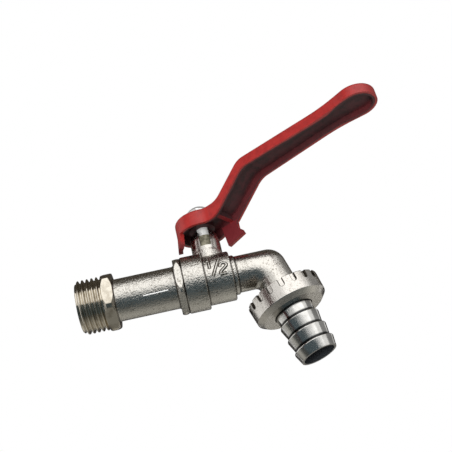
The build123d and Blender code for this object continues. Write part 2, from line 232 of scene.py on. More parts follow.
class Recipe(NodeKit):
    """Node tree of one material."""

    def __init__(self, name: str) -> None:
        """Start a material with a Principled shader.

        Args:
            name: Name of the material.
        """
        self.material = bpy.data.materials.new(name)
        self.material.use_nodes = True
        super().__init__(self.material.node_tree)
        self.shader = self.tree.nodes["Principled BSDF"]

    def place(self) -> bpy.types.NodeSocket:
        """Point on the object, in metres."""
        return self.node("ShaderNodeTexCoord").outputs["Object"]

    def axes(self) -> tuple[Channel, Channel, Channel]:
        """Coordinates of the point on the object."""
        return self.split(self.place())

    def split(self, point: bpy.types.NodeSocket) -> tuple[Channel, Channel, Channel]:
        """Three coordinates of a point.

        Args:
            point: Output socket that carries the point.

        Returns:
            Its coordinates as channels.
        """
        node = self.node("ShaderNodeSeparateXYZ", sockets={0: point})
        return tuple(self.channel(socket) for socket in node.outputs)

    def vector_math(self, operation: str, first: object, second: object = None) -> bpy.types.Node:
        """Add one Vector Math node.

        Args:
            operation: Blender's name of the operation.
            first: Output socket or vector for the first socket.
            second: Output socket or vector for the second socket, if it has one.

        Returns:
            The new node.
        """
        sockets = {0: first} if second is None else {0: first, 1: second}
        return self.node("ShaderNodeVectorMath", {"operation": operation}, sockets)

    def travel(self, origin: Vector, direction: Vector) -> Channel:
        """Distance of the point from an origin along a direction.

        Args:
            origin: Point where the distance is 0.
            direction: Unit direction.

        Returns:
            The distance in metres.
        """
        node = self.vector_math("DOT_PRODUCT", self.place(), tuple(direction))
        return self.channel(node.outputs["Value"]) - origin.dot(direction)

    def reach(self, origin: Vector, axis: Vector) -> Channel:
        """Distance of the point from an axis.

        Args:
            origin: Point on the axis.
            axis: Unit direction of the axis.

        Returns:
            The distance in metres.
        """
        arm = self.vector_math("SUBTRACT", self.place(), tuple(origin))
        wide = self.vector_math("CROSS_PRODUCT", arm.outputs[0], tuple(axis))
        size = self.vector_math("LENGTH", wide.outputs[0])
        return self.channel(size.outputs["Value"])

    def noise(self, size: float, detail: float = 2.0, rough: float = 0.5) -> Channel:
        """Cloudy noise from 0 to 1.

        Args:
            size: Size of its patches in metres.
            detail: Number of finer layers.
            rough: Weight of the finer layers.

        Returns:
            The noise.
        """
        node = self.node("ShaderNodeTexNoise", sockets={
            "Vector": self.place(), "Scale": 1.0 / size, "Detail": detail, "Roughness": rough})
        return self.channel(node.outputs[0])

    def cells(self, size: float) -> Channel:
        """Distance to the nearest of scattered points, for pits and pebbles.

        Args:
            size: Distance between the points in metres.

        Returns:
            The distance, as a share of the size.
        """
        node = self.node(
            "ShaderNodeTexVoronoi", {"feature": "F1"}, {"Vector": self.place(), "Scale": 1.0 / size})
        return self.channel(node.outputs["Distance"])

    def ease(self, value: Channel, low: float, high: float, start: float = 0.0, end: float = 1.0) -> Channel:
        """Smooth step between two values.

        Args:
            value: Channel to read.
            low: Where the step starts.
            high: Where the step ends.
            start: Result below the step.
            end: Result above the step.

        Returns:
            The step.
        """
        node = self.node("ShaderNodeMapRange", {"interpolation_type": "SMOOTHSTEP"}, {
            "Value": value, "From Min": low, "From Max": high, "To Min": start, "To Max": end})
        return self.channel(node.outputs[0])

    def tint(self, factor: Channel | float, low: object, high: object) -> bpy.types.NodeSocket:
        """Mix two colours.

        Args:
            factor: Share of the second colour.
            low: First colour.
            high: Second colour.

        Returns:
            The mixed colour.
        """
        node = self.node("ShaderNodeMix", {"data_type": "RGBA"}, {0: factor, 6: low, 7: high})
        return node.outputs[2]

    def relief(self, height: Channel, depth: float) -> None:
        """Raise the surface's normal by a height.

        Args:
            height: Height from 0 to 1.
            depth: Depth in metres of a height of 1.
        """
        bump = self.node("ShaderNodeBump", sockets={"Strength": 1.0, "Distance": depth, "Height": height})
        self.feed(self.shader.inputs["Normal"], bump.outputs["Normal"])

    def surface(self, sockets: dict[str, object]) -> bpy.types.Material:
        """Set the shader's sockets.

        Args:
            sockets: Values or links by the name of the socket.

        Returns:
            The finished material.
        """
        for key, value in sockets.items():
            self.feed(self.shader.inputs[key], value)
        return self.material


@dataclass(frozen=True)
class CastPlate:
    """Nickel plate over a pebbly casting."""

    light: Colour = (0.64, 0.615, 0.565)
    dark: Colour = (0.34, 0.315, 0.275)
    # Tone of the painted shade that the mask lays on.
    shade_tone: Colour = (0.07, 0.062, 0.052)
    lump: float = 1.5 * MM
    grain: float = 0.6 * MM
    depth: float = 0.25 * MM
    gloss: float = 0.2

    def painted_shade(self, mix: Recipe) -> Channel | float:
        """Mask of painted shade in corners and recesses; a plain casting has none."""
        return 0.0

    def fettled(self, mix: Recipe) -> Channel | float:
        """Mask of the places that were ground smooth; a plain casting has none."""
        return 0.0

    def material(self, name: str) -> bpy.types.Material:
        """Build the material.

        Args:
            name: Name of the material.

        Returns:
            The material.
        """
        mix = Recipe(name)
        lumps = mix.noise(self.lump, 2.0, 0.5)
        grains = mix.noise(self.grain, 2.0, 0.6)
        pits = mix.ease(mix.cells(self.lump * 1.2), 0.04, 0.3)
        cloud = mix.noise(self.lump * 5, 3.0, 0.6)
        mix.relief((lumps * 0.35 + grains * 0.75 + pits * 0.12) * (1.0 - self.fettled(mix)), self.depth)
        stain = mix.ease(cloud * 0.6 + grains * 0.9 - pits * 0.25, 0.5, 0.78)
        return mix.surface({
            # Painted shade: where the mask is 1 the plate takes the shade tone.
            "Base Color": mix.tint(self.painted_shade(mix), mix.tint(stain, self.light, self.dark), self.shade_tone),
            "Metallic": 1.0,
            "Roughness": self.gloss + 0.12 * grains + 0.05 * stain,
        })


@dataclass(frozen=True)
class BandedPlate(CastPlate):
    """Nickel plate over the cast body, with painted shade in the corners between its bands."""

    corners: tuple[float, ...] = (
        14.35 * MM, 37.85 * MM, 40.85 * MM, 49.35 * MM, 59.8 * MM, 61.6 * MM)
    reach: float = 11.1 * MM
    line: float = 0.2 * MM
    tower_foot: float = 10.2 * MM
    spout_start: float = 61.5 * MM

    def fettled(self, mix: Recipe) -> Channel:
        """Mask of the stem tower and the spout, which are smoother than the bands.

        Args:
            mix: Recipe to add nodes to.

        Returns:
            Share of the grain that is gone.
        """
        along, _, height = mix.axes()
        tower = mix.ease(height, self.tower_foot, self.tower_foot + 1.2 * MM, 0.0, 0.75)
        return tower.most(mix.ease(along, self.spout_start, self.spout_start + 1.5 * MM, 0.0, 0.5))

    def painted_shade(self, mix: Recipe) -> Channel:
        """Mask of the painted shade in the corners.

        Args:
            mix: Recipe to add nodes to.

        Returns:
            1 in a thin ring at each corner, 0 elsewhere.
        """
        along, across, height = mix.axes()
        radius = (across * across + height * height) ** 0.5
        nearest = abs(along - self.corners[0])
        for corner in self.corners[1:]:
            nearest = nearest.least(abs(along - corner))
        ring = mix.ease(nearest, self.line, self.line * 1.8, 0.8, 0.0)
        return ring * mix.ease(radius, self.reach, self.reach + 0.1 * MM, 1.0, 0.0)


@dataclass(frozen=True)
class NotchedPlate(CastPlate):
    """Nickel plate over the cast union nut, with painted shade along the walls of its notches."""

    origin: Vector = Vector((73.95 * MM, 0.0, 0.0))
    axis: Vector = Vector((0.0, 0.0, -1.0))
    count: int = 18
    phase: float = math.radians(7.5)
    half_width: float = 0.95 * MM
    back: float = 11.8 * MM
    straight: float = 2.25 * MM
    line: float = 0.28 * MM

    def painted_shade(self, mix: Recipe) -> Channel:
        """Mask of the painted shade on the notch walls.

        Args:
            mix: Recipe to add nodes to.

        Returns:
            1 along the U-shaped outline of each notch, 0 elsewhere.
        """
        side = Vector((0.0, 1.0, 0.0))
        over = self.axis.cross(side)
        first = mix.travel(self.origin, side)
        second = mix.travel(self.origin, over)
        turn = (second.bearing(first) - self.phase).fold(math.pi / self.count)
        sideways = turn * mix.reach(self.origin, self.axis)
        depth = (mix.travel(self.origin, self.axis) - (self.back + self.straight)).most(0.0)
        reach = (sideways * sideways + depth * depth) ** 0.5
        return mix.ease(reach, self.half_width - self.line, self.half_width - self.line * 0.6) * mix.ease(
            reach, self.half_width + self.line * 0.4, self.half_width + self.line * 0.8, 1.0, 0.0)


@dataclass(frozen=True)
class TurnedPlate:
    """Nickel plate over a surface turned on a lathe about an axis."""

    axis: Vector
    light: Colour = (0.66, 0.65, 0.62)
    dark: Colour = (0.47, 0.46, 0.435)
    # Tone of the painted shade in the grooves.
    shade_tone: Colour = (0.035, 0.035, 0.035)
    # Dark blue-grey of the painted shade on the matt faces.
    matt_shade_tone: Colour = (0.05, 0.055, 0.062)
    tool_step: float = 0.22 * MM
    depth: float = 0.004 * MM
    gloss: float = 0.08

    def painted_shade(self, mix: Recipe) -> Channel | float:
        """Mask of painted shade in grooves; a plain turning has none."""
        return 0.0

    def matt_and_shade(self, mix: Recipe) -> Channel | float:
        """Mask of the faces that the plating left matt, which also take a painted dark shade; a plain turning
        has none.
        """
        return 0.0

    def material(self, name: str) -> bpy.types.Material:
        """Build the material.

        Args:
            name: Name of the material.

        Returns:
            The material.
        """
        mix = Recipe(name)
        travel = mix.travel(Vector(), self.axis)
        drift = mix.noise(2.2 * MM, 2.0)
        lines = ((travel + drift * (0.1 * MM)) * (2 * math.pi / self.tool_step)).sine()
        cloud = mix.noise(3.5 * MM, 3.0, 0.55)
        mix.relief(lines * 0.5 + cloud * 1.5, self.depth)
        plate = mix.tint(mix.ease(cloud, 0.4, 0.75), self.light, self.dark)
        # The matt mask lowers the metal and raises the roughness, and lays a painted dark shade.
        matt_and_shade = self.matt_and_shade(mix)
        return mix.surface({
            # Painted shade: the grooves take the shade tone and the matt faces the matt shade tone.
            "Base Color": mix.tint(matt_and_shade, mix.tint(self.painted_shade(mix), plate, self.shade_tone), self.matt_shade_tone),
            "Metallic": 1.0 - 0.8 * matt_and_shade,
            "Roughness": self.gloss + 0.12 * cloud + 0.02 * lines + 0.4 * matt_and_shade,
        })


@dataclass(frozen=True)
class BarbedPlate(TurnedPlate):
    """Turned plate of the hose tail, with painted shade behind each barb and round the neck, and a matt bore
    in painted shade.
    """

    origin: Vector = Vector((73.95 * MM, 0.0, 0.0))
    neck: float = 20.5 * MM
    first_root: float = 24.5 * MM
    last_root: float = 35.4 * MM
    pitch: float = 5.45 * MM
    width: float = 1.15 * MM
    bore: float = 6.4 * MM

    def painted_shade(self, mix: Recipe) -> Channel:
        """Mask of the painted shade in the grooves.

        Args:
            mix: Recipe to add nodes to.

        Returns:
            1 in the groove behind each barb and where the neck leaves the nut, 0 elsewhere.
        """
        travel = mix.travel(self.origin, self.axis)
        turns = ((travel - self.first_root) / self.pitch).share()
        share = self.width / self.pitch
        grooves = mix.ease(turns, 1.0 - share, 1.0 - share * 0.45)
        grooves = grooves * mix.ease(travel, self.last_root, self.last_root + 0.3 * MM, 1.0, 0.0)
        grooves = grooves.most(mix.ease(travel, self.neck + 0.2 * MM, self.neck + 0.7 * MM, 1.0, 0.0))
        return grooves * mix.ease(mix.reach(self.origin, self.axis), self.bore, self.bore + 0.3 * MM)

    def matt_and_shade(self, mix: Recipe) -> Channel:
        """Mask of the bore, which is matt and painted in a dark shade."""
        reach = mix.reach(self.origin, self.axis)
        return mix.ease(reach, self.bore - 0.15 * MM, self.bore - 0.05 * MM, 1.0, 0.0)


@dataclass(frozen=True)
class BrightPlate:
    """Light plate, polished or satin, with faint wipe marks."""

    light: Colour
    dark: Colour
    metal: float
    gloss: float
    # Tone of the painted shade, where a mask lays any.
    shade_tone: Colour = (0.2, 0.2, 0.2)

    def painted_shade(self, mix: Recipe) -> Channel | float:
        """Mask of painted shade; a plain piece has none."""
        return 0.0

    def material(self, name: str) -> bpy.types.Material:
        """Build the material.

        Args:
            name: Name of the material.

        Returns:
            The material.
        """
        mix = Recipe(name)
        cloud = mix.noise(2.5 * MM, 3.0)
        plate = mix.tint(mix.ease(cloud, 0.45, 0.8), self.light, self.dark)
        return mix.surface({
            # Painted shade: where the mask is 1 the plate takes the shade tone.
            "Base Color": mix.tint(self.painted_shade(mix), plate, self.shade_tone),
            "Metallic": self.metal,
            "Roughness": self.gloss + 0.12 * cloud,
        })


@dataclass(frozen=True)
class StemPlate(BrightPlate):
    """Satin plate of the stem, with painted shade on the round edges beside its lit front."""

    # Tone of the painted shade on the round edges.
    shade_tone: Colour = (0.035, 0.032, 0.03)
    centre: float = 52.2 * MM
    front: float = 2.1 * MM

    def painted_shade(self, mix: Recipe) -> Channel:
        """Mask of the painted shade on the stem's round edges."""
        gap = abs(mix.axes()[0] - self.centre)
        return mix.ease(gap, self.front - 0.1 * MM, self.front + 0.15 * MM)


@dataclass(frozen=True)
class RawBrass:
    """Dull turned brass with a green-brown film."""

    light: Colour = (0.34, 0.32, 0.235)
    dark: Colour = (0.13, 0.12, 0.085)

    def material(self, name: str) -> bpy.types.Material:
        """Build the material.

        Args:
            name: Name of the material.

        Returns:
            The material.
        """
        mix = Recipe(name)
        cloud = mix.noise(1.2 * MM, 3.0)
        mix.relief(cloud, 0.02 * MM)
        return mix.surface({
            "Base Color": mix.tint(mix.ease(cloud, 0.35, 0.7), self.light, self.dark),
            "Metallic": 0.5,
            "Roughness": 0.4 + 0.2 * cloud,
        })


@dataclass(frozen=True)
class RedPaint:
    """Glossy red enamel outside the lever; inside its channel thin, rough enamel without coat, painted in
    dark shade colours.
    """

    fresh: Colour = (0.36, 0.023, 0.020)
    deep: Colour = (0.285, 0.0165, 0.0155)
    # Painted shade colours of the channel's inside, and the half shade for the tab, finger's tip, rib's foot
    # and far wall.
    inside: Colour = (0.080, 0.024, 0.026)
    inside_shade_deep: Colour = (0.043, 0.021, 0.021)
    shaded: Colour = (0.150, 0.016, 0.020)
    wave: float = 2.4 * MM
    stem: tuple[float, float, float] = (52.2 * MM, 0.0, 0.0)
    turn: float = math.radians(-37.2)
    head: float = 9.2 * MM
    arm: float = 6.2 * MM
    waist_cut: float = 1.4 * MM
    waist_span: Span = (29.0 * MM, 67.0 * MM)
    paddle_gain: float = 1.8 * MM
    paddle_span: Span = (67.0 * MM, 76.0 * MM)
    paddle: float = 6.7 * MM
    paddle_place: float = 78.6 * MM
    crank_span: Span = (13.8 * MM, 28.0 * MM)
    crank_rise: float = 10.9 * MM
    ceiling: float = 25.0 * MM
    skirt: float = 19.9 * MM
    far_wall: Span = (3.6 * MM, 5.6 * MM)
    tip_span: Span = (13.6 * MM, 17.6 * MM)
    tab_top: float = 21.8 * MM
    tab_start: Span = (5.6 * MM, 6.0 * MM)
    rib_span: Span = (10.3 * MM, 12.1 * MM)
    rib_foot: float = 22.3 * MM
    rib_bottom: Span = (21.4 * MM, 21.7 * MM)
    edge: float = 0.15 * MM
    coat: float = 0.05

    def masks(self, mix: Recipe) -> tuple[Channel, Channel]:
        """Masks of the painted shade inside the lever's channel and of the faces painted in a half shade.

        Args:
            mix: Recipe to add nodes to.

        Returns:
            1 on the walls and ceiling of the channel, where shade is painted, and 0 outside, then 1 on the
            tab, the finger's tip and the rib's foot, and less on the far wall, which take the half-shade
            colour.
        """
        place = mix.node("ShaderNodeMapping", {"vector_type": "TEXTURE"}, {
            "Vector": mix.place(), "Location": self.stem, "Rotation": (0.0, 0.0, self.turn)})
        along, across, height = mix.split(place.outputs[0])
        edge = self.edge
        round_axis = (along * along + across * across) ** 0.5
        half = (self.arm - mix.ease(along, *self.waist_span, 0.0, self.waist_cut)
                + mix.ease(along, *self.paddle_span, 0.0, self.paddle_gain))
        in_arm = mix.ease(half - abs(across), -edge, edge) * mix.ease(along, 0.0, edge)
        in_arm = in_arm * mix.ease(self.paddle_place - along, -edge, edge)
        in_head = mix.ease(self.head - round_axis, -edge, edge)
        past = along - self.paddle_place
        in_paddle = mix.ease(self.paddle - (past * past + across * across) ** 0.5, -edge, edge)
        start, end = self.crank_span
        climb = ((along - start) / (end - start)).most(0.0).least(1.0)
        below = mix.ease(self.ceiling + self.crank_rise * climb - height, -edge, edge)
        below = below * mix.ease(height - self.skirt, -edge, edge)
        inside = in_arm.most(in_head).most(in_paddle) * below
        # Painted light and shade: the far wall and the rib's foot are painted lighter than the channel, as
        # lit faces; the tab and the finger's tip darker, as shaded faces.
        far = mix.ease(across, *self.far_wall)
        tab = mix.ease(self.tab_top - height, -edge, edge) * mix.ease(self.far_wall[1] - across, -edge, edge)
        tab = tab * mix.ease(across, 0.0, edge) * mix.ease(along, *self.tab_start)
        tip = mix.ease(height, *self.tip_span, 0.9, 0.0) * mix.ease(across, 0.0, edge, 1.0, 0.0)
        low, high = self.rib_span
        rib = mix.ease(along, low - edge, low + edge) * mix.ease(high - along, -edge, edge)
        rib = rib * mix.ease(self.rib_foot - height, -edge, edge) * mix.ease(height, *self.rib_bottom)
        dark = tab.most(tip)
        return inside.most(dark) * (1.0 - 0.4 * rib), (far * 0.45).most(rib).most(dark)

    def material(self, name: str) -> bpy.types.Material:
        """Build the material.

        Args:
            name: Name of the material.

        Returns:
            The material.
        """
        mix = Recipe(name)
        wave = mix.noise(self.wave, 2.0)
        speck = mix.noise(0.5 * MM, 2.0)
        inside, shaded = self.masks(mix)
        mix.relief(wave * 0.8 + speck * 0.2, 0.05 * MM)
        blush = mix.ease(wave + speck * 0.4, 0.55, 0.95)
        outer = mix.tint(blush, self.fresh, self.deep)
        # Painted shade: the channel, tab and finger's tip take the dark inner colours, the rib's foot and far
        # wall a lighter half shade.
        inner = mix.tint(shaded, mix.tint(blush, self.inside, self.inside_shade_deep), self.shaded)
        return mix.surface({
            "Base Color": mix.tint(inside, outer, inner),
            "Roughness": 0.36 + 0.12 * speck + 0.2 * inside,
            "Coat Weight": self.coat - self.coat * inside,
        })


@dataclass(frozen=True)
class SoftSeal:
    """Moulded rubber or seat plastic."""

    light: Colour
    dark: Colour
    rough: float

    def material(self, name: str) -> bpy.types.Material:
        """Build the material.

        Args:
            name: Name of the material.

        Returns:
            The material.
        """
        mix = Recipe(name)
        cloud = mix.noise(0.9 * MM, 3.0)
        mix.relief(cloud, 0.03 * MM)
        return mix.surface({
            "Base Color": mix.tint(mix.ease(cloud, 0.35, 0.7), self.light, self.dark),
            "Roughness": self.rough + 0.1 * cloud,
        })


class Mould:
    """Turns a bmesh into a finished piece at the origin."""

    CREASE = math.radians(32)

    @staticmethod
    def finish(shape: bmesh.types.BMesh, name: str, materials: list[bpy.types.Material]) -> bpy.types.Object:
        """Shade and store a piece that rides on the body.

        Args:
            shape: Finished bmesh, which is freed.
            name: Name of the piece.
            materials: Materials in the order of the faces' numbers.

        Returns:
            The new object.
        """
        for face in shape.faces:
            face.smooth = True
        for edge in shape.edges:
            edge.smooth = edge.calc_face_angle(0.0) < Mould.CREASE
        mesh = bpy.data.meshes.new(name)
        shape.to_mesh(mesh)
        shape.free()
        for material in materials:
            mesh.materials.append(material)
        piece = bpy.data.objects.new(name, mesh)
        bpy.context.scene.collection.objects.link(piece)
        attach(piece, BODY)
        LOG.info("piece %s: %d faces", name, len(mesh.polygons))
        return piece

    @staticmethod
    def trim(shape: bmesh.types.BMesh, place: float, keep_after: bool) -> None:
        """Cut a shape off at one place along X.

        Args:
            shape: Shape to cut.
            place: X of the cut in metres.
            keep_after: Whether what lies beyond the cut stays, or what lies before it.
        """
        everything = shape.verts[:] + shape.edges[:] + shape.faces[:]
        bmesh.ops.bisect_plane(
            shape, geom=everything, dist=WELD / 10, plane_co=(place, 0, 0), plane_no=(1, 0, 0),
            clear_inner=keep_after, clear_outer=not keep_after)

    @staticmethod
    def rim(shape: bmesh.types.BMesh, place: float) -> list[bmesh.types.BMEdge]:
        """Open edges of a shape at one place along X.

        Args:
            shape: Shape to read.
            place: X of the rim in metres.

        Returns:
            The open edges.
        """
        return [
            edge for edge in shape.edges
            if edge.is_boundary and all(abs(vert.co.x - place) < 10 * WELD for vert in edge.verts)
        ]


@dataclass
class InletEnd:
    """Inlet connector: its cast length with two hexagons, and the cut pipe thread."""

    node: bpy.types.Object
    casting: bpy.types.Material
    turning: bpy.types.Material
    thread_end: float = 10.08 * MM
    hexagon_end: float = 14.25 * MM
    crest: float = 10.4775 * MM
    pitch: float = 1.814 * MM
    tooth: float = 1.162 * MM
    bore: float = 6.4 * MM
    chamfer: float = 1.1 * MM
    turn_steps: int = 72
    lead_turns: int = 2
    outline: tuple[tuple[float, float], ...] = (
        (0.0, 0.0), (0.09, 0.0), (0.16, 0.1), (0.37, 0.88), (0.44, 0.98), (0.5, 1.0),
        (0.56, 0.98), (0.63, 0.88), (0.84, 0.1), (0.91, 0.0), (1.0, 0.0))

    def build(self) -> None:
        """Build both pieces in place of the plain solid."""
        for piece in (self.cast_length(), self.pipe_thread()):
            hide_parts(self.node.name)

    def cast_length(self) -> bpy.types.Object:
        """Cut the plain thread off a copy of the solid and close the cut.

        Returns:
            The piece.
        """
        shape = bmesh.new()
        shape.from_mesh(self.node.data)
        bmesh.ops.remove_doubles(shape, verts=shape.verts, dist=WELD)
        Mould.trim(shape, self.thread_end, keep_after=True)
        bmesh.ops.bridge_loops(shape, edges=Mould.rim(shape, self.thread_end))
        bmesh.ops.recalc_face_normals(shape, faces=shape.faces)
        for face in shape.faces:
            face.material_index = int(face.calc_center_median().x < self.hexagon_end)
        return Mould.finish(shape, "connector_casting", [self.casting, self.turning])

    def pipe_thread(self) -> bpy.types.Object:
        """Spin one tooth into a helix, trim its ends and close it round the bore.

        Returns:
            The piece.
        """
        root = self.crest - self.tooth
        shape = bmesh.new()
        profile = [
            shape.verts.new(((along - self.lead_turns) * self.pitch, 0, root + rise * self.tooth))
            for along, rise in self.outline
        ]
        edges = [shape.edges.new(pair) for pair in zip(profile, profile[1:])]
        turns = math.ceil(self.thread_end / self.pitch) + 2 * self.lead_turns
        bmesh.ops.spin(
            shape, geom=profile + edges, cent=(0, 0, 0), axis=(1, 0, 0),
            dvec=(self.pitch / self.turn_steps, 0, 0), angle=turns * 2 * math.pi,
            steps=turns * self.turn_steps, use_merge=False)
        bmesh.ops.remove_doubles(shape, verts=shape.verts, dist=WELD)
        Mould.trim(shape, 0.0, keep_after=True)
        Mould.trim(shape, self.thread_end, keep_after=False)
        for vert in shape.verts:
            radius = math.hypot(vert.co.y, vert.co.z)
            limit = self.crest - self.chamfer + vert.co.x
            if radius > limit:
                vert.co.yz = vert.co.yz * (limit / radius)
        bore_start = bmesh.ops.extrude_edge_only(shape, edges=Mould.rim(shape, 0.0))["geom"]
        self.set_radius(bore_start, self.bore)
        bore_edges = [item for item in bore_start if isinstance(item, bmesh.types.BMEdge)]
        bore_end = bmesh.ops.extrude_edge_only(shape, edges=bore_edges)["geom"]
        for vert in bore_end:
            if isinstance(vert, bmesh.types.BMVert):
                vert.co.x = self.thread_end
        bmesh.ops.bridge_loops(shape, edges=Mould.rim(shape, self.thread_end))
        bmesh.ops.remove_doubles(shape, verts=shape.verts, dist=WELD)
        bmesh.ops.recalc_face_normals(shape, faces=shape.faces)
        return Mould.finish(shape, "inlet_thread", [self.turning])

    @staticmethod
    def set_radius(geometry: list, radius: float) -> None:
        """Move the vertices of a list to one distance from the body axis.

        Args:
            geometry: Mixed vertices, edges and faces.
            radius: Distance in metres.
        """
        for vert in geometry:
            if isinstance(vert, bmesh.types.BMVert):
                vert.co.yz = vert.co.yz * (radius / math.hypot(vert.co.y, vert.co.z))


@dataclass
class CastMarks:
    """Raised pipe-size figures on the ball band with a flat band of painted shade round their feet, and the
    flash line that the mould left along the neck.
    """

    casting: bpy.types.Material
    shade_tone: bpy.types.Material
    burnished: bpy.types.Material
    band: float = 9.65 * MM
    neck: float = 8.2 * MM
    figure_wire: float = 0.36 * MM
    # Width and height of the flat band of painted shade round the figures' feet.
    foot_wire: float = 0.7 * MM
    foot_share: float = 0.1
    flash_wire: float = 0.21 * MM
    round_steps: int = 3
    curve_steps: int = 8
    figures: tuple[tuple[tuple[float, float], ...], ...] = (
        ((50.6, 20.5), (51.1, 23.5), (51.4, 27.0)),
        ((51.4, 27.0), (51.4, 14.0), (51.4, 1.5)),
        ((55.7, 26.0), (53.9, 4.0), (52.1, -17.5)),
        ((55.3, 0.5), (55.4, 8.0), (57.0, 10.0), (58.2, 3.0), (56.6, -5.0), (55.2, -10.5), (54.9, -16.3)),
        ((54.9, -16.3), (56.1, -16.8), (57.4, -16.0)),
    )
    flash: tuple[tuple[float, float], ...] = (
        (25.0, -27.5), (27.2, -26.9), (29.6, -27.1), (32.2, -26.4), (34.6, -26.5))

    def build(self) -> None:
        """Build the figures and the flash line."""
        self.wire("size_figures", self.figures, self.band, self.figure_wire, self.casting)
        # The feet are a flat dark band of painted shade round the figures.
        self.wire("figure_feet_shade", self.figures, self.band, self.foot_wire, self.shade_tone, self.foot_share)
        self.wire("neck_flash", (self.flash,), self.neck, self.flash_wire, self.burnished)

    def wire(self, name: str, strokes: tuple, radius: float, thickness: float, finish: bpy.types.Material,
             share: float = 1.0) -> None:
        """Lay round strokes on a cylinder about the body axis, half sunk.

        Args:
            name: Name of the piece.
            strokes: For each stroke, its points as millimetres along the axis and degrees above the front.
            radius: Radius of the cylinder.
            thickness: Radius of the strokes.
            finish: Material of the strokes.
            share: Height of the strokes as a share of their radius.
        """
        curve = bpy.data.curves.new(name, "CURVE")
        curve.dimensions = "3D"
        curve.bevel_depth = thickness
        curve.bevel_resolution = self.round_steps
        curve.use_fill_caps = True
        for stroke in strokes:
            spline = curve.splines.new("NURBS")
            spline.points.add(len(stroke) - 1)
            for point, (along, angle) in zip(spline.points, stroke):
                point.co = (along * MM, math.radians(angle) * radius, 0, 1)
            spline.order_u = 3
            spline.use_endpoint_u = True
            spline.resolution_u = self.curve_steps
        holder = bpy.data.objects.new(name, curve)
        flat = bpy.data.meshes.new_from_object(holder)
        shape = bmesh.new()
        shape.from_mesh(flat)
        bpy.data.objects.remove(holder)
        bpy.data.curves.remove(curve)
        bpy.data.meshes.remove(flat)
        for vert in shape.verts:
            angle = vert.co.y / radius
            reach = radius + vert.co.z * share
            vert.co = (vert.co.x, -reach * math.cos(angle), reach * math.sin(angle))
        bmesh.ops.remove_doubles(shape, verts=shape.verts, dist=WELD)
        bmesh.ops.recalc_face_normals(shape, faces=shape.faces)
        Mould.finish(shape, name, [finish])


@dataclass(frozen=True)
class Panel:
    """Flat rectangle that faces the tap from one direction; azimuth 0 is the front, elevation 90 the top."""

    name: str
    azimuth: float
    elevation: float
    distance: float
    width: float
    height: float

    def matrix(self, target: Vector) -> Matrix:
        """Place of the panel.

        Args:
            target: Point that it faces.

        Returns:
            World matrix with the face along -Z.
        """
        turn = math.radians(self.azimuth)
        rise = math.radians(self.elevation)
        out = Vector((math.sin(turn) * math.cos(rise), -math.cos(turn) * math.cos(rise), math.sin(rise)))
        facing = (-out).to_track_quat("-Z", "Y").to_matrix().to_4x4()
        return Matrix.Translation(target + self.distance * out) @ facing


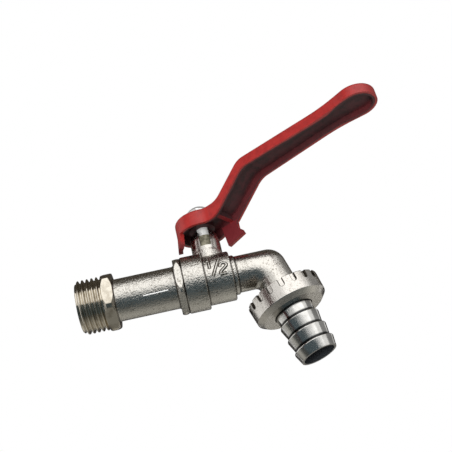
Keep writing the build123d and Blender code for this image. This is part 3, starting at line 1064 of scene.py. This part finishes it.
@dataclass
class Stage:
    """Camera, light, floor and backdrop."""

    azimuth: float = math.radians(-4.02)
    elevation: float = math.radians(-28.72)
    roll: float = math.radians(-13.95)
    distance: float = 319.9 * MM
    target: tuple[float, float, float] = (61.935 * MM, 0.0, 21.988 * MM)
    focal_pixels: float = 799.4
    image_pixels: float = 452.0
    floor_height: float = -0.45
    floor_white: float = 0.85
    floor_near: Colour = (0.10, 0.105, 0.10)
    floor_under: Colour = (0.52, 0.51, 0.47)
    floor_far: Colour = (0.13, 0.125, 0.115)
    floor_size: float = 6.0
    floor_offset: float = 0.05
    near_span: Span = (-0.22, 0.36)
    far_span: Span = (0.7, 1.8)
    side_span: Span = (-0.1, 0.45)
    side_gain: Span = (0.8, 1.4)
    sky: Colour = (0.9, 0.92, 0.95)
    sky_strength: float = 0.25

    def build(self) -> None:
        """Set up the whole stage."""
        scene = bpy.context.scene
        scene.view_settings.view_transform = "Standard"
        self.camera(scene)
        self.world(scene)
        self.floor()
        self.lamp(
            Panel("window", azimuth=20.0, elevation=28.0, distance=1.1, width=1.3, height=1.3),
            3.6)
        self.lamp(
            Panel("soft_key", azimuth=12.0, elevation=22.0, distance=1.0, width=1.0, height=0.9),
            2.4, mirrored=False)
        self.lamp(
            Panel("front_fill", azimuth=-24.0, elevation=-16.0, distance=0.5, width=0.3, height=0.2),
            1.9, mirrored=False)
        self.card(
            Panel("dark_ceiling", azimuth=180.0, elevation=77.0, distance=1.3, width=3.4, height=2.9),
            (0.075, 0.067, 0.055))
        self.card(
            Panel("dark_back", azimuth=180.0, elevation=12.0, distance=1.6, width=3.4, height=1.1),
            (0.06, 0.056, 0.052))
        self.card(
            Panel("dark_side", azimuth=-60.0, elevation=18.0, distance=1.1, width=0.44, height=1.7),
            (0.055, 0.018, 0.016))
        self.card(
            Panel("grey_right", azimuth=98.0, elevation=8.0, distance=1.1, width=0.9, height=1.3),
            (0.30, 0.30, 0.30))
        self.card(
            Panel("dark_table", azimuth=0.0, elevation=-39.5, distance=0.45, width=1.3, height=0.49),
            (0.080, 0.105, 0.118))

    def camera(self, scene: bpy.types.Scene) -> None:
        """Place the camera at the photograph's angle.

        Args:
            scene: Scene to set it in.
        """
        out = Vector((
            math.sin(self.azimuth) * math.cos(self.elevation),
            -math.cos(self.azimuth) * math.cos(self.elevation),
            math.sin(self.elevation)))
        side = (-out).cross(Vector((0, 0, 1))).normalized()
        upward = side.cross(-out)
        right = math.cos(self.roll) * side + math.sin(self.roll) * upward
        top = math.cos(self.roll) * upward - math.sin(self.roll) * side
        lens = bpy.data.cameras.new("camera")
        lens.sensor_fit = "HORIZONTAL"
        lens.sensor_width = 36.0
        lens.lens = lens.sensor_width * self.focal_pixels / self.image_pixels
        lens.clip_start = 0.01
        view = bpy.data.objects.new("camera", lens)
        turn = Matrix((right, top, out)).transposed().to_4x4()
        view.matrix_world = Matrix.Translation(Vector(self.target) + self.distance * out) @ turn
        scene.collection.objects.link(view)
        scene.camera = view

    def world(self, scene: bpy.types.Scene) -> None:
        """Give the world a plain light and a white backdrop.

        Args:
            scene: Scene to set it in.
        """
        world = bpy.data.worlds.new("studio")
        scene.world = world
        world.use_nodes = True
        world.node_tree.nodes.clear()
        kit = NodeKit(world.node_tree)
        path = kit.node("ShaderNodeLightPath")
        seen = kit.channel(path.outputs["Is Camera Ray"])
        for name in ("Is Glossy Ray", "Is Transmission Ray"):
            seen = seen.most(kit.channel(path.outputs[name]))
        plain = kit.node("ShaderNodeBackground", sockets={"Color": self.sky, "Strength": self.sky_strength})
        white = kit.node("ShaderNodeBackground", sockets={"Color": (1.0, 1.0, 1.0), "Strength": 1.0})
        mix = kit.node("ShaderNodeMixShader", sockets={0: seen, 1: plain.outputs[0], 2: white.outputs[0]})
        kit.node("ShaderNodeOutputWorld", sockets={0: mix.outputs[0]})

    @staticmethod
    def sheet(name: str, width: float, height: float, offset: Vector,
              material: bpy.types.Material) -> bpy.types.Object:
        """Lay a flat rectangle that isn't part of the tap.

        Args:
            name: Name of the rectangle.
            width: Size along X in metres.
            height: Size along Y in metres.
            offset: Place of its middle within the object.
            material: Finish of the rectangle.

        Returns:
            The new object.
        """
        shape = bmesh.new()
        bmesh.ops.create_grid(shape, x_segments=1, y_segments=1, size=0.5)
        bmesh.ops.scale(shape, vec=(width, height, 1), verts=shape.verts)
        bmesh.ops.translate(shape, vec=offset, verts=shape.verts)
        mesh = bpy.data.meshes.new(name)
        shape.to_mesh(mesh)
        shape.free()
        mesh.materials.append(material)
        sheet = bpy.data.objects.new(name, mesh)
        bpy.context.scene.collection.objects.link(sheet)
        return sheet

    def floor(self) -> None:
        """Lay the plain pale floor: white to the camera but for shadows, and graded in the metal's mirror."""
        mix = Recipe("pale_floor")
        mix.surface({"Base Color": (0.82, 0.82, 0.82), "Roughness": 0.9})
        along, across, _ = mix.axes()
        back = mix.tint(mix.ease(across, *self.near_span), self.floor_near, self.floor_under)
        whole = mix.tint(mix.ease(across, *self.far_span), back, self.floor_far)
        side = mix.ease(along, *self.side_span, *self.side_gain)
        shade = mix.node("ShaderNodeVectorMath", {"operation": "SCALE"}, {0: whole, "Scale": side})
        path = mix.node("ShaderNodeLightPath")
        viewed = mix.channel(path.outputs["Is Camera Ray"])
        mirrored = mix.channel(path.outputs["Is Glossy Ray"])
        glow = mix.node("ShaderNodeBsdfPrincipled", sockets={
            "Base Color": (0.0, 0.0, 0.0), "Specular IOR Level": 0.0,
            "Emission Color": mix.tint(viewed, shade.outputs[0], (1.0, 1.0, 1.0)), "Emission Strength": 1.0})
        seen = mix.node("ShaderNodeMixShader", sockets={
            0: mirrored.most(viewed * self.floor_white), 1: mix.shader.outputs[0], 2: glow.outputs[0]})
        mix.feed(mix.tree.nodes["Material Output"].inputs["Surface"], seen.outputs[0])
        middle = Vector((self.floor_offset, 0.0, self.floor_height))
        self.sheet("floor", self.floor_size, self.floor_size, middle, mix.material)

    def card(self, panel: Panel, colour: Colour) -> None:
        """Hold a dark card for the metal to mirror; the camera and the light pass through it.

        Args:
            panel: Where the card is held, and its size.
            colour: Colour of the card.
        """
        material = Recipe(panel.name).surface({
            "Base Color": (0.0, 0.0, 0.0), "Specular IOR Level": 0.0,
            "Emission Color": colour, "Emission Strength": 1.0})
        card = self.sheet(panel.name, panel.width, panel.height, Vector(), material)
        card.matrix_world = panel.matrix(Vector(self.target))
        card.visible_camera = False
        card.visible_diffuse = False
        card.visible_shadow = False

    def lamp(self, panel: Panel, power: float, mirrored: bool = True) -> None:
        """Hang a soft lamp that faces the tap.

        Args:
            panel: Where the lamp hangs, and its size.
            power: Power in watts.
            mirrored: Whether the metal mirrors it.
        """
        light = bpy.data.lights.new(panel.name, "AREA")
        light.shape = "RECTANGLE"
        light.size = panel.width
        light.size_y = panel.height
        light.energy = power
        lamp = bpy.data.objects.new(panel.name, light)
        lamp.matrix_world = panel.matrix(Vector(self.target))
        lamp.visible_camera = False
        lamp.visible_glossy = mirrored
        bpy.context.scene.collection.objects.link(lamp)


@dataclass
class Finishes:
    """All materials of the tap."""

    outlet: Vector

    def build(self) -> dict[Finish, bpy.types.Material]:
        """Build every material once.

        Returns:
            Materials by finish.
        """
        looks = {
            Finish.CASTING: BandedPlate(),
            Finish.FIGURE: CastPlate(grain=0.4 * MM, depth=0.08 * MM),
            # Dark casting for the painted shade round the figures' feet.
            Finish.GRIME: CastPlate(light=(0.11, 0.098, 0.082), dark=(0.05, 0.045, 0.038), gloss=0.4),
            Finish.NUT: NotchedPlate(
                light=(0.66, 0.63, 0.585), dark=(0.46, 0.43, 0.39), lump=1.1 * MM, grain=0.5 * MM,
                depth=0.07 * MM, gloss=0.17, axis=self.outlet),
            Finish.THREAD: TurnedPlate(
                Vector((1, 0, 0)), light=(0.66, 0.61, 0.52), dark=(0.42, 0.375, 0.30), gloss=0.1),
            Finish.OUTLET: BarbedPlate(self.outlet),
            Finish.BRIGHT: BrightPlate((0.80, 0.80, 0.79), (0.62, 0.61, 0.60), metal=1.0, gloss=0.1),
            Finish.SATIN: BrightPlate((0.93, 0.93, 0.91), (0.86, 0.86, 0.84), metal=0.1, gloss=0.4),
            Finish.DOME: BrightPlate((0.86, 0.86, 0.85), (0.74, 0.74, 0.73), metal=0.55, gloss=0.22),
            Finish.STEM: StemPlate((0.93, 0.93, 0.91), (0.86, 0.86, 0.84), metal=0.1, gloss=0.4),
            Finish.BRASS: RawBrass(),
            Finish.PAINT: RedPaint(),
            Finish.PLASTIC: SoftSeal((0.85, 0.85, 0.82), (0.75, 0.75, 0.72), rough=0.45),
            Finish.RUBBER: SoftSeal((0.045, 0.045, 0.047), (0.02, 0.02, 0.021), rough=0.6),
        }
        return {finish: look.material(finish.value) for finish, look in looks.items()}


NODE_FINISH = {
    "valve_body": Finish.CASTING,
    "inlet_connector": Finish.CASTING,
    "body_seal": Finish.RUBBER,
    "inlet_seat": Finish.PLASTIC,
    "outlet_seat": Finish.PLASTIC,
    "ball": Finish.BRIGHT,
    "stem": Finish.STEM,
    "stem_thrust_washer": Finish.PLASTIC,
    "stem_packing": Finish.PLASTIC,
    "gland_nut": Finish.BRASS,
    "lever": Finish.PAINT,
    "lever_washer": Finish.DOME,
    "lever_nut": Finish.DOME,
    "hose_nut": Finish.NUT,
    "hose_tail": Finish.OUTLET,
    "hose_gasket": Finish.RUBBER,
}


def dress(nodes: dict[str, bpy.types.Object], materials: dict[Finish, bpy.types.Material]) -> None:
    """Give every solid its finish.

    Args:
        nodes: Solids by name.
        materials: Materials by finish.
    """
    for name, finish in NODE_FINISH.items():
        for slot in nodes[name].material_slots:
            slot.material = materials[finish]
        LOG.info("solid %s: %s", name, finish.value)


def main() -> None:
    """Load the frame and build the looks."""
    logging.basicConfig(level=logging.INFO)
    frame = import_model()
    joints = {joint["name"]: joint for joint in frame["joints"]}
    outlet = Vector(joints["nut_turn"]["axis"])
    materials = Finishes(outlet).build()
    dress(frame["nodes"], materials)
    InletEnd(frame["nodes"]["inlet_connector"], materials[Finish.CASTING], materials[Finish.THREAD]).build()
    CastMarks(materials[Finish.FIGURE], materials[Finish.GRIME], materials[Finish.SATIN]).build()
    Stage().build()


if __name__ == "__main__":
    main()
